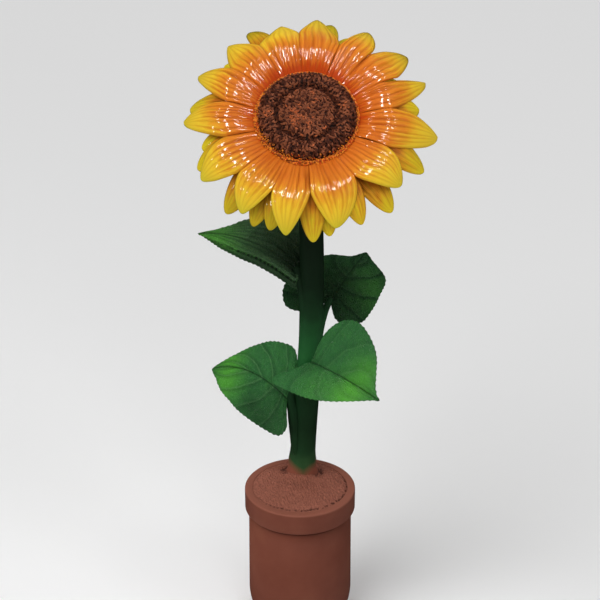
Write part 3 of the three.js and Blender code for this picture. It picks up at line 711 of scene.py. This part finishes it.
def petal_mesh(tip_reach, edges, layer, ridges, seed, columns, rows, loose, crest_shift):
    """A ridged petal's upper skin. edges(reach) gives its two edge bearings in radians, loose is
    the reach at which its edges come free of its neighbours, and crest_shift moves its crest
    towards the middle."""
    bm = bmesh.new()
    warm_layer, groove_layer, tip_green_and_rear_shade_layer = point_layers(bm, "warm", "groove", "green")
    bm.loops.layers.uv.new("along_petal")
    bmesh.ops.create_grid(bm, x_segments=columns, y_segments=rows, size=0.5, calc_uvs=True)
    petal_dice = random.Random(seed)
    lean, bend = petal_dice.uniform(-3.5, 3.5), crest_shift + petal_dice.uniform(-3.0, 3.0)
    lane_edges, lane_heights = uneven_lanes(petal_dice, ridges)
    for vert in bm.verts:
        v = vert.co.x * 2
        t = 1 - (1 - min(1.0, vert.co.y + 0.5)) ** 1.35
        reach = ROOT + (tip_reach - ROOT) * t
        low, high = edges(reach)
        bearing = low + (high - low) * (v + 1) / 2
        width = (high - low) * reach
        body = min(1.0, (reach - ROOT) / 30) * min(1.0, width / 40)
        free = min(1.0, max(0.0, (reach - loose) / 12))
        # ridges wander a little and fade towards root and tip
        drift = 0.11 * uneven(t * 2.6, v * 1.2, seed * 3.7) * (1 - v * v)
        across = min(0.9999, max(-0.9999, v + drift))
        lane = next(n for n in range(ridges) if across < lane_edges[n + 1])
        share = (across - lane_edges[lane]) / (lane_edges[lane + 1] - lane_edges[lane])
        rise = sin(pi * share)
        fade_in = min(1.0, 0.35 + t * 3) * min(1.0, 0.25 + (1 - t) * 1.6) * min(1.0, width / 26)
        ridge = RIDGE * fade_in * (lane_heights[lane] * rise ** 0.7 - 0.5)
        ridge += 0.06 * fade_in * sin(3 * pi * share)
        ridge -= EDGE_ROLL * max(0.0, (abs(v) - 0.84) / 0.16) ** 2 * free
        ridge -= TIP_ROLL * max(0.0, (t - 0.88) / 0.12) ** 2
        swell = 2.2 * uneven(t * 2.2, v * 1.1, seed * 1.3 + 8)
        swell += 0.25 * uneven(t * 7, v * 2.6, seed * 2.1)
        # a few soft creases run out from the disc
        crease = max(0.0, uneven(v * 4.5, t * 1.5, seed * 5.3) - 0.08) * sin(pi * min(1.0, t / 0.75))
        swell -= CREASE * crease
        arch = petal_height(reach + bend * 4 * t * (1 - t), bearing) - layer * LAYER_DROP
        height = arch - CROWN * body * v * v * (0.75 + 0.25 * free + max(0.0, t - 0.4) * 1.6)
        height += ridge + (swell + lean * v * t) * body
        vert.co = on_head(reach, bearing, height)
        fade = 1 - (reach - ROOT) / (tip_reach - ROOT)
        upward = sin(bearing)
        vert[warm_layer] = fade * (1 + 0.16 * upward) + (0.08 * fade ** 4 - 0.05) * upward
        vert[groove_layer] = max(0.0, 1 - 3.2 * min(share, 1 - share)) * fade_in + 1.1 * crease
        if layer == 0:
            # the tips and free edges are a little green, most of all at the flower's lower side
            low_side = max(0.15, 0.5 - 0.5 * upward - 0.25 * cos(bearing))
            vert[tip_green_and_rear_shade_layer] = low_side * (
                max(0.0, (t - 0.8) / 0.2) ** 2 + 0.6 * max(0.0, (abs(v) - 0.8) / 0.2) * t * free)
        else:
            # behind, the upper petals are yellower, and the lower left ones get painted olive shade where
            # the front petals shadow them
            vert[warm_layer] -= 0.14 * max(0.0, upward)
            olive_shade = exp(-((degrees(bearing) + SHADED_REAR_SIDE) / SHADED_REAR_SPREAD) ** 2)
            vert[tip_green_and_rear_shade_layer] = 1.1 * olive_shade * (0.55 + 0.45 * noise.noise(vert.co * 60))
    return facing(cleaned(bm, 0.05), FACING)


def petal_paint(name, stops, groove_tint_and_shade, green_and_shade_colour):
    """Sprayed petal paint under clear gloss: red-orange at the disc to yellow at the tip."""
    material, place = new_material(name, {"Roughness": 0.38, "Specular IOR Level": 0.06,
                                          "Coat Weight": 1.0, "Coat Roughness": 0.05})
    warm, groove, green = (reading(material, each) for each in ("warm", "groove", "green"))
    skin = material.node_tree.nodes.new("ShaderNodeUVMap")
    skin.uv_map = "along_petal"
    stretched = add_node("Mapping", {"Vector": skin.outputs["UV"], "Scale": (9.0, 1.3, 1.0)})
    streaks = speckle(stretched.outputs["Vector"], 2.6, 4.0, 0.65)
    cloud = speckle(place, 22.0, 3.0)
    share = nudged(nudged(warm, streaks, 0.7), cloud, 0.45)
    colour = ramp(share, stops)
    # the grooves and creases are red-orange, partly as the paint lies in them, partly as painted shade
    colour = blend(sums("MULTIPLY", groove, 0.5), colour, groove_tint_and_shade)
    # green at the front petals' tips; on the rear petals this colour is painted olive shade
    colour = blend(clamped(sums("MULTIPLY", green, 0.55)), colour, green_and_shade_colour)
    feed("Base Color", colour)
    bump(speckle(stretched.outputs["Vector"], 7.0, 3.0), 0.06, 0.0005)
    return material


front_paint = petal_paint("front_petal_gloss", [
    (0.0, (220, 187, 50)), (0.2, (224, 186, 46)), (0.38, (218, 154, 38)), (0.52, (212, 124, 34)),
    (0.75, (206, 108, 32)), (0.92, (196, 92, 18)), (1.05, (182, 62, 10))],
    groove_tint_and_shade=paint(156, 62, 8), green_and_shade_colour=paint(176, 178, 36))
# the rear paint darkens to brown towards the roots as painted shade under the front petals
rear_shaded_paint = petal_paint("rear_petal_gloss_shaded", [
    (0.0, (206, 184, 34)), (0.14, (208, 172, 34)), (0.28, (206, 142, 34)), (0.42, (176, 98, 24)),
    (1.0, (110, 52, 14))],
    groove_tint_and_shade=paint(110, 66, 12), green_and_shade_colour=paint(84, 80, 14))


def add_petal(name, node, bm, material):
    """Gives a petal its thickness and its place in the plant."""
    petal = as_piece(name, bm, material)
    wall = petal.modifiers.new("thickness", "SOLIDIFY")
    wall.thickness = PETAL_THICK * MM
    wall.offset = -1.0
    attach(petal, "root")
    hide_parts(node)


for k, (low, low_notch, tip, reach, low_fullness, high_fullness, crest_shift) in enumerate(FRONT):
    high, high_notch = (FRONT[-1][0] + 360, FRONT[-1][1]) if k == 0 else FRONT[k - 1][:2]

    def front_edge(boundary, notch, fullness, r, inset):
        s = (r - notch) / (reach - notch)
        upward = max(0.0, sin(radians(tip)))
        swing = tip + (boundary - tip) * narrowing(s, fullness, 0.12, 1.0 + 0.3 * upward)
        return radians(swing) + (inset / r if s < 0.9999 else 0.0)

    def front_edges(r):
        return (front_edge(low, low_notch, low_fullness, r, -FRONT_GAP),
                front_edge(high, high_notch, high_fullness, r, FRONT_GAP))

    ridges = round(radians(high - low) * CREST_AT / RIDGE_WIDTH)
    loose = min(low_notch, high_notch)
    petal_bm = petal_mesh(reach, front_edges, 0, ridges, k + 1, 72, 54, loose, crest_shift)
    add_petal(f"front_ray_{k + 1:02d}", f"petal_front_{k + 1:02d}", petal_bm, front_paint)

for kind, layer, petals in (("middle", 1, MIDDLE), ("back", 2, BACK)):
    for k, (tip, reach, half_width) in enumerate(petals):

        def free_edges(r):
            s = (r - ROOT) / (reach - ROOT)
            widening = 0.62 + 0.38 * sin(min(1.0, max(0.0, s / 0.5)) * pi / 2)
            half = half_width * 1.12 * widening * narrowing((s - 0.42) / 0.58, 2.6, 0.24)
            offset = asin(half / r)
            return radians(tip) - offset, radians(tip) + offset

        petal_bm = petal_mesh(reach, free_edges, layer, 5, 20 * layer + k, 48, 44, 100, 0)
        add_petal(f"{kind}_ray_{k + 1:02d}", f"petal_{kind}_{k + 1:02d}", petal_bm, rear_shaded_paint)

# ---------------- disc
# The seed disc: a resin dome with a raised outer ring, a groove and an inner dome, modelled
# all over with short curled bumps, painted dark brown and dry-brushed red-brown.
# The profile is (reach, height) in mm, and a rusty spot is (x, y, size).
DISC_PROFILE = [
    (0, 13.5), (29, 12.9), (41, 11.4), (45.5, 6.5), (49.5, 6.8), (54, 12), (60, 13), (69, 10), (76, 4),
    (78, -1.5)]
DISC_REACH, DISC_BACK, GROOVE_IN, GROOVE_OUT, OUTER_RING = 76.5, -7.7, 44.5, 50.5, 50.0
CURLS, GOLDEN_TURN = 1700, 2.39996
RUST_SPOTS = [(-18, -14, 9), (57, 12, 10), (-62, -5, 8), (4, -20, 7), (10, -58, 6)]


def disc_height(reach):
    """Height of the disc's face in mm."""
    for (r0, h0), (r1, h1) in zip(DISC_PROFILE, DISC_PROFILE[1:]):
        if reach <= r1:
            return h0 + (h1 - h0) * ((reach - r0) / (r1 - r0))
    return DISC_PROFILE[-1][1]


def plain_paint(name, colours, scale, roughness, relief):
    """A matt or satin paint of a few close shades."""
    material, place = new_material(name, {"Roughness": roughness, "Specular IOR Level": 0.18})
    shade = ramp(speckle(place, scale, 4.0), [
        (0.3 + 0.4 * n / (len(colours) - 1), colour) for n, colour in enumerate(colours)])
    feed("Base Color", shade)
    bump(speckle(place, 500.0, 3.0), relief, 0.0004)
    return material


disc_bm = turned([*DISC_PROFILE, (77.5, DISC_BACK), (0, DISC_BACK)], 96)
for vert in disc_bm.verts:
    # the face lies a little lower between the curls
    sunk = 1.2 + 0.4 * noise.noise(vert.co / MM * 0.35) if vert.co.z > -2 * MM else 0
    vert.co = HEAD_PLACE @ (vert.co / MM - Vector((0, 0, sunk))) * MM
# the dome is near-black where it shows between the curls, partly as painted shade in the gaps
disc_brown = plain_paint("disc_brown", [(30, 13, 8), (44, 20, 12)], 120.0, 0.7, 0.3)
disc = as_piece("disc_dome", disc_bm, disc_brown)
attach(disc, "root")
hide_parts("disc")

# each shade of curl, and how rusty a curl may be to have it
curl_paints = {
    "dark": (0.5, plain_paint("curl_dark", [(58, 25, 12), (90, 42, 23)], 90.0, 0.55, 0.2)),
    "brown": (1.0, plain_paint("curl_brown", [(100, 51, 30), (144, 80, 50)], 90.0, 0.55, 0.2)),
    "rust": (9.0, plain_paint("curl_rust", [(150, 70, 34), (182, 98, 56)], 90.0, 0.5, 0.2))}
curl_sets = {kind: bmesh.new() for kind in curl_paints}


def bent_bump(name, length, bow):
    """One small rounded bump of 1 mm radius and twice this half length in mm, bent into an arc."""
    bm = bmesh.new()
    bmesh.ops.create_uvsphere(bm, u_segments=6, v_segments=5, radius=1)
    for vert in bm.verts:
        turn = vert.co.z * length / bow
        reach = bow - vert.co.x
        vert.co = Vector((reach * sin(turn), vert.co.y, bow - reach * cos(turn))) * MM
    return mesh_of(name, bm)


def set_bump(bm, bump_mesh, place):
    """Adds one bump, placed and stretched by a matrix in mm."""
    grown = Matrix.Scale(MM, 4) @ place @ Matrix.Scale(1 / MM, 4)
    bump_mesh.transform(grown)
    bm.from_mesh(bump_mesh)
    bump_mesh.transform(grown.inverted())


curl_shapes = [bent_bump("curl_tight", 2.2, 1.7), bent_bump("curl_open", 2.0, 2.8),
               bent_bump("curl_long", 2.5, 4.0)]
dice = random.Random(11)
for k in range(CURLS):
    reach = DISC_REACH * sqrt((k + 0.5) / CURLS)
    bearing = k * GOLDEN_TURN + dice.uniform(-0.05, 0.05)
    reach += dice.uniform(-0.8, 0.8)
    slope = (disc_height(reach + 1) - disc_height(reach - 1)) / 2
    out = Vector((cos(bearing), sin(bearing), 0))
    normal = (Vector((0, 0, 1)) - out * slope).normalized()
    swirl = bearing + dice.uniform(-1.0, 1.0) * (1 if reach > OUTER_RING else pi)
    flat = Vector((cos(swirl), sin(swirl), 0))
    flat = (flat - normal * flat.dot(normal)).normalized()
    flat = (flat + normal * dice.uniform(-0.4, 0.4)).normalized()
    side = normal.cross(flat).normalized()
    turned_to = Matrix((flat, side, flat.cross(side))).transposed().to_4x4()
    on_side = Matrix.Rotation(dice.choice((-1, 1)) * dice.uniform(0.9, 1.5), 4, "X")
    rim = max(0.0, (reach - 68) / 8)
    proud = dice.uniform(-0.6, 0.5) + rim * dice.uniform(-0.6, 1.2)
    centre = out * reach + Vector((0, 0, disc_height(reach))) + normal * proud
    size = dice.uniform(1.3, 1.85)
    in_groove = GROOVE_IN < reach < GROOVE_OUT
    if in_groove:
        size *= 0.8
    place = HEAD_PLACE @ Matrix.Translation(centre) @ turned_to @ on_side @ Matrix.Scale(size, 4)
    # inner curls are a little rustier; curls in the groove are darker, as painted shade in the recess
    inner_tone_and_groove_shade = 0.12 if reach < GROOVE_IN - 0.5 else -0.5 if in_groove else -0.06
    rusty = 0.5 + inner_tone_and_groove_shade + 0.22 * noise.noise(centre * 0.06 + Vector((3, 1, 0)))
    rusty += dice.uniform(-0.4, 0.4)
    rusty += sum(0.5 * exp(-((centre.x - x) ** 2 + (centre.y - y) ** 2) / spread ** 2)
                 for x, y, spread in RUST_SPOTS)
    kind = next(kind for kind, (limit, _) in curl_paints.items() if rusty < limit)
    set_bump(curl_sets[kind], dice.choice(curl_shapes), place)
for kind, (_, material) in curl_paints.items():
    bmesh.ops.recalc_face_normals(curl_sets[kind], faces=curl_sets[kind].faces)
    curls = as_piece("disc_curls_" + kind, curl_sets[kind], material)
    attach(curls, "root")

# ---------------- anther ring
# A narrow ring of orange beads pressed round the disc, over the petals' roots.
BEADS, RING_REACH = 1900, 80.4
RING_PROFILE = [(78.3, -5.6), (83, -4.0), (82.4, -2.6), (78.3, -1.4)]
# each shade of bead, and its share of them
bead_paints = {
    "orange": (0.56, plain_paint("anther_orange", [(206, 110, 28), (232, 140, 40)], 160.0, 0.5, 0.2)),
    "red": (0.26, plain_paint("anther_red", [(190, 62, 14), (214, 86, 22)], 160.0, 0.5, 0.2)),
    "umber": (0.18, plain_paint("anther_umber", [(110, 46, 14), (160, 74, 24)], 160.0, 0.55, 0.2))}
ring_bm = turned(RING_PROFILE, 120, closed=True)
for vert in ring_bm.verts:
    vert.co = HEAD_PLACE @ (vert.co / MM) * MM
ring = as_piece("anther_band", ring_bm, bead_paints["umber"][1])
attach(ring, "root")
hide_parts("anther_ring")
bead_shape = bent_bump("bead", 1.2, 9.0)
bead_sets = {tone: bmesh.new() for tone in bead_paints}
bead_shares = [share for share, _ in bead_paints.values()]
for k in range(BEADS):
    bearing = dice.uniform(0, 2 * pi)
    # the beads spread wider, over disc and petals, round the lower half
    low_side = 0.5 - 0.5 * sin(bearing + 0.35)
    patchy = 0.5 + 0.5 * uneven(cos(bearing) * 4, sin(bearing) * 4, 2.0)
    spread = 1.3 + 11.0 * low_side ** 1.6 * patchy
    reach = RING_REACH + spread * max(-1.1, min(0.9, dice.gauss(0.05, 0.55)))
    ground = disc_height(reach) if reach < ROOT - 0.6 else max(-2.4, petal_height(reach, bearing) + 0.2)
    size = dice.uniform(0.75, 1.4)
    centre = Vector((reach * cos(bearing), reach * sin(bearing), ground + dice.uniform(-0.4, 0.6)))
    spun = Matrix.Rotation(dice.uniform(0, pi), 4, "Z")
    place = HEAD_PLACE @ Matrix.Translation(centre) @ spun @ Matrix.Scale(size, 4)
    tone = dice.choices(list(bead_paints), bead_shares)[0]
    set_bump(bead_sets[tone], bead_shape, place)
for tone, (_, material) in bead_paints.items():
    bmesh.ops.recalc_face_normals(bead_sets[tone], faces=bead_sets[tone].faces)
    beads = as_piece("anther_beads_" + tone, bead_sets[tone], material)
    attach(beads, "root")

# ---------------- calyx
# The green back of the flower: a ribbed dome on the neck with twelve pointed sepals that
# lie against the rear petals, cast in resin and sprayed the leaves' green.
SEPALS, SEPAL_VALLEY, SEPAL_REACH, SEPAL_THICK, SEPAL_DROP = 12, 88.0, 30.0, 3.0, 6.0
CALYX_WALL = 78.0
CALYX_RINGS = [(77, -42), (64, -52), (44, -64), (26, -71), (21, -80)]


def sepal_reach(bearing):
    """How far the calyx reaches at a bearing: long at each sepal, short between them."""
    phase = abs(((bearing / (2 * pi)) * SEPALS) % 1 - 0.5) * 2
    return SEPAL_VALLEY + SEPAL_REACH * (1 - phase) ** 0.8


def calyx_point(bearing, share):
    """(radius, height) on the calyx, share 0 at the wall behind the petals to 1 at the neck."""
    far = sepal_reach(bearing)
    middle = (CALYX_WALL + far) / 2
    wall, under_middle, under = (
        petal_height(reach, bearing) - 2 * LAYER_DROP - PETAL_THICK - SEPAL_DROP
        for reach in (CALYX_WALL + 0.5, middle, far))
    stations = [(CALYX_WALL, -8), (CALYX_WALL, wall), (middle, under_middle), (far, under),
                (far - 1.5, under - 1.5), (middle, under_middle - SEPAL_THICK - 1), *CALYX_RINGS]
    at = share * (len(stations) - 1)
    index = min(int(at), len(stations) - 2)
    (r0, h0), (r1, h1) = stations[index], stations[index + 1]
    return r0 + (r1 - r0) * (at - index), h0 + (h1 - h0) * (at - index)


calyx_bm = bmesh.new()
bmesh.ops.create_grid(calyx_bm, x_segments=192, y_segments=60, size=0.5)
for vert in calyx_bm.verts:
    bearing = (vert.co.x + 0.5) * 2 * pi
    share = min(1.0, max(0.0, vert.co.y + 0.5))
    radius, height = calyx_point(bearing, share)
    to_neck = min(1.0, (1 - share) * 6)
    rib = 0.9 * sin(bearing * SEPALS) ** 2 * max(0.0, min(1.0, (share - 0.45) * 5)) * to_neck
    rough = 0.8 * uneven(cos(bearing) * 5, sin(bearing) * 5, share * 9)
    radius += (rib + rough) * to_neck * (share > 0.4)
    vert.co = on_head(radius, bearing, height)
cleaned(calyx_bm, 0.05, holes=True)
calyx_green = plain_paint("calyx_green", [(30, 66, 34), (48, 96, 48), (70, 122, 58)], 40.0, 0.5, 0.25)
calyx = as_piece("calyx_cup", calyx_bm, calyx_green)
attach(calyx, "root")
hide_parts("calyx")

# ---------------- studio
# A pale floor and an even surround under a wide soft sun from the front left, with four
# narrow lamps for the gloss and four weak soft boxes. The camera looks down from in front.
CAMERA_DOWN, HEAD_AIM = 24.2, (0, 0, 0.95)
floor_bm = bmesh.new()
bmesh.ops.create_grid(floor_bm, x_segments=1, y_segments=1, size=30.0)
floor_white, _ = new_material("floor_white", {"Roughness": 0.9, "Base Color": (0.94, 0.94, 0.94, 1)})
floor = as_piece("floor", floor_bm, floor_white)
floor.visible_glossy = False

world = bpy.data.worlds.new("studio")
world.use_nodes = True
surround = world.node_tree.nodes["Background"].inputs
surround["Color"].default_value = (1.0, 1.0, 1.0, 1)
surround["Strength"].default_value = 0.38
world.cycles_visibility.glossy = False
bpy.context.scene.world = world

sky = bpy.data.lights.new("overcast", "SUN")
sky.energy, sky.angle = 1.65, 0.9
sky_lamp = set_out("overcast", sky)
sky_lamp.visible_glossy = False
sky_lamp.rotation_euler = Vector((-0.62, -0.5, 0.85)).to_track_quat("Z", "Y").to_euler()
# each lamp's place, aim, width, height, power and spread in degrees. The gloss lamps are only
# seen mirrored, and the soft boxes only light.
for name, place, aim, wide, tall, power, spread in (
        ("gloss_front", (0.15, -1.0, 2.7), HEAD_AIM, 0.18, 0.65, 14, 180),
        ("gloss_left", (-0.7, -0.6, 2.6), HEAD_AIM, 0.12, 0.35, 4, 180),
        ("gloss_right", (0.75, -0.6, 2.6), HEAD_AIM, 0.15, 0.4, 5, 180),
        ("gloss_low", (-2.2, -1.6, 1.6), HEAD_AIM, 0.13, 0.5, 5, 180),
        ("left_fill", (-2.2, -1.6, 1.6), (0, 0, 0.5), 1.2, 1.2, 8, 180),
        ("right_fill", (1.6, -1.0, 2.0), (0.05, 0, 1.0), 0.8, 0.8, 1.1, 50),
        ("top_fill", (0.3, 0.9, 2.4), (0, 0, 1.0), 0.8, 0.8, 0.8, 50),
        ("front_fill", (0.7, -2.2, 2.3), HEAD_AIM, 1.0, 1.0, 10, 180)):
    light = bpy.data.lights.new(name, "AREA")
    light.shape, light.size, light.size_y = "RECTANGLE", wide, tall
    light.energy, light.spread = power, radians(spread)
    lamp = set_out(name, light)
    lamp.visible_glossy = name.startswith("gloss")
    lamp.visible_diffuse = not lamp.visible_glossy
    lamp.location = place
    lamp.rotation_euler = (Vector(aim) - Vector(place)).to_track_quat("-Z", "Y").to_euler()

camera_data = bpy.data.cameras.new("camera")
camera_data.sensor_width, camera_data.lens = 36.0, 82.56
camera = set_out("camera", camera_data)
camera.location = (0, -2.14, 1.6)
camera.rotation_euler = (radians(90 - CAMERA_DOWN), 0, 0)
bpy.context.scene.camera = camera
bpy.context.scene.view_settings.view_transform = "Standard"
